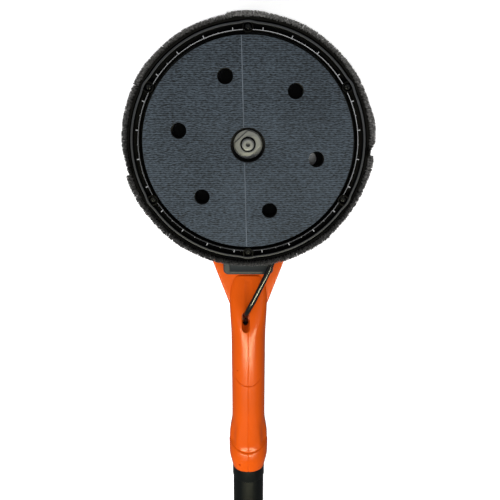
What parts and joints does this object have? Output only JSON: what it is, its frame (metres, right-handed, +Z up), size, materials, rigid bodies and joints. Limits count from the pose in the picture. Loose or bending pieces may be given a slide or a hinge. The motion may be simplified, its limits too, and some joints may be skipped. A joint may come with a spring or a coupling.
{
  "type": "pole drywall sander",
  "caption": "Long-reach electric drywall sander with a round brush-skirted sanding head on a gimballed fork, telescoping pole and rear switch handle.",
  "frame": {"origin": "middle of the whole object's footprint, on the floor it lies on", "axes": "+Z up, the way the sanding face points; the pole runs along -Y from the head; +X to the right of the head seen with the pole towards the viewer"},
  "size_m": [0.255, 1.3225, 0.159],
  "materials": {
    "orange_plastic": "satin moulded orange plastic",
    "dark_plastic": "matt moulded dark grey plastic",
    "black_plastic": "matt moulded black plastic",
    "grey_cast": "dark grey coated casting",
    "slate_hook": "slate grey hook-and-loop face",
    "black_foam": "closed-cell black foam",
    "bristle": "dense nylon bristles",
    "steel": "plain machined steel",
    "laminated_iron": "stacked iron sheets",
    "copper": "copper winding",
    "carbon": "pressed carbon",
    "black_rubber": "smooth black rubber",
    "black_tube": "black coated aluminium tube"
  },
  "bodies": {
    "pole": {"neck_shell_left": "orange_plastic", "neck_shell_right": "orange_plastic", "pivot_bolt_left": "steel", "pivot_bolt_right": "steel", "cross_bracket": "grey_cast", "motor_cable": "black_rubber", "front_tube": "black_tube", "foam_grip": "black_foam", "clamp_collet": "black_plastic"},
    "gimbal": {"gimbal_ring": "grey_cast", "roll_pin_front": "steel", "roll_pin_rear": "steel", "cable_clip": "black_rubber"},
    "head": {"brush_housing": "dark_plastic", "skirt_screw_1": "steel", "skirt_screw_2": "steel", "skirt_screw_3": "steel", "skirt_screw_4": "steel", "skirt_screw_5": "steel", "skirt_screw_6": "steel", "float_spring_1": "steel", "float_spring_2": "steel", "float_spring_3": "steel", "dust_outlet": "dark_plastic", "gear_housing": "grey_cast", "ring_gear": "steel", "spindle_bearing": "steel", "motor_housing": "dark_plastic", "motor_end_cap": "black_plastic", "stator": "laminated_iron", "front_bearing": "steel", "rear_bearing": "steel", "carbon_brush_left": "carbon", "carbon_brush_right": "carbon", "motor_gland": "black_rubber"},
    "brush_skirt": {"brush_carrier": "dark_plastic", "brush_bristles": "bristle"},
    "pad": {"hook_face": "slate_hook", "foam_pad": "black_foam", "backing_plate": "black_plastic", "clamp_washer": "steel", "centre_bolt": "steel", "output_spindle": "steel"},
    "planet_1": {"planet_gear_1": "steel"},
    "planet_2": {"planet_gear_2": "steel"},
    "planet_3": {"planet_gear_3": "steel"},
    "rotor": {"motor_shaft": "steel", "armature_core": "copper", "commutator": "copper", "cooling_fan": "black_plastic"},
    "rear_pole": {"rear_tube": "black_tube", "handle_shell_left": "dark_plastic", "handle_shell_right": "dark_plastic", "switch_module": "black_plastic", "cord_gland": "black_rubber"},
    "lock_collar": {"lock_collar": "orange_plastic"},
    "trigger": {"trigger": "black_plastic"},
    "lock_button": {"lock_button": "black_plastic"},
    "speed_dial": {"speed_dial": "black_plastic"}
  },
  "joints": [
    {"name": "head_tilt", "type": "hinge", "parent": "pole", "child": "gimbal", "pos_m": [0, 0.53375, 0.08], "axis": [1, 0, 0], "range_deg": [-110, 0], "deforming": ["motor_cable"]},
    {"name": "head_roll", "type": "hinge", "parent": "gimbal", "child": "head", "pos_m": [0, 0.53375, 0.08], "axis": [0, 1, 0], "range_deg": [-14, 14], "deforming": ["motor_cable"]},
    {"name": "skirt_float", "type": "slide", "parent": "head", "child": "brush_skirt", "axis": [0, 0, -1], "range_m": [0, 0.005], "stiffness_N_per_m": 800, "springref_m": -0.004, "deforming": ["float_spring_1", "float_spring_2", "float_spring_3"]},
    {"name": "pad_spin", "type": "hinge", "parent": "head", "child": "pad", "pos_m": [0, 0.53375, 0.155], "axis": [0, 0, 1], "continuous": true},
    {"name": "planet_1_spin", "type": "hinge", "parent": "pad", "child": "planet_1", "pos_m": [0.01875, 0.53375, 0.155], "axis": [0, 0, 1], "continuous": true},
    {"name": "planet_2_spin", "type": "hinge", "parent": "pad", "child": "planet_2", "pos_m": [-0.00937, 0.54999, 0.155], "axis": [0, 0, 1], "continuous": true},
    {"name": "planet_3_spin", "type": "hinge", "parent": "pad", "child": "planet_3", "pos_m": [-0.00937, 0.51751, 0.155], "axis": [0, 0, 1], "continuous": true},
    {"name": "rotor_spin", "type": "hinge", "parent": "head", "child": "rotor", "pos_m": [0, 0.53375, 0.155], "axis": [0, 0, 1], "continuous": true},
    {"name": "tube_slide", "type": "slide", "parent": "pole", "child": "rear_pole", "axis": [0, -1, 0], "range_m": [0, 0.3], "deforming": ["motor_cable"]},
    {"name": "collar_twist", "type": "hinge", "parent": "pole", "child": "lock_collar", "pos_m": [0, -0.26625, 0.08], "axis": [0, 1, 0], "range_deg": [0, 90]},
    {"name": "trigger_pull", "type": "slide", "parent": "rear_pole", "child": "trigger", "axis": [0, -1, 0], "range_m": [0, 0.0045], "stiffness_N_per_m": 600, "springref_m": -0.002},
    {"name": "lock_press", "type": "slide", "parent": "rear_pole", "child": "lock_button", "axis": [-1, 0, 0], "range_m": [0, 0.003], "stiffness_N_per_m": 500, "springref_m": -0.002},
    {"name": "dial_turn", "type": "hinge", "parent": "rear_pole", "child": "speed_dial", "pos_m": [0, -0.47825, 0.0925], "axis": [1, 0, 0], "range_deg": [-135, 135]}
  ],
  "couplings": [
    {"joint": "planet_1_spin", "follows": "pad_spin", "ratio": -2.5},
    {"joint": "planet_2_spin", "follows": "pad_spin", "ratio": -2.5},
    {"joint": "planet_3_spin", "follows": "pad_spin", "ratio": -2.5},
    {"joint": "rotor_spin", "follows": "pad_spin", "ratio": 6}
  ]
}
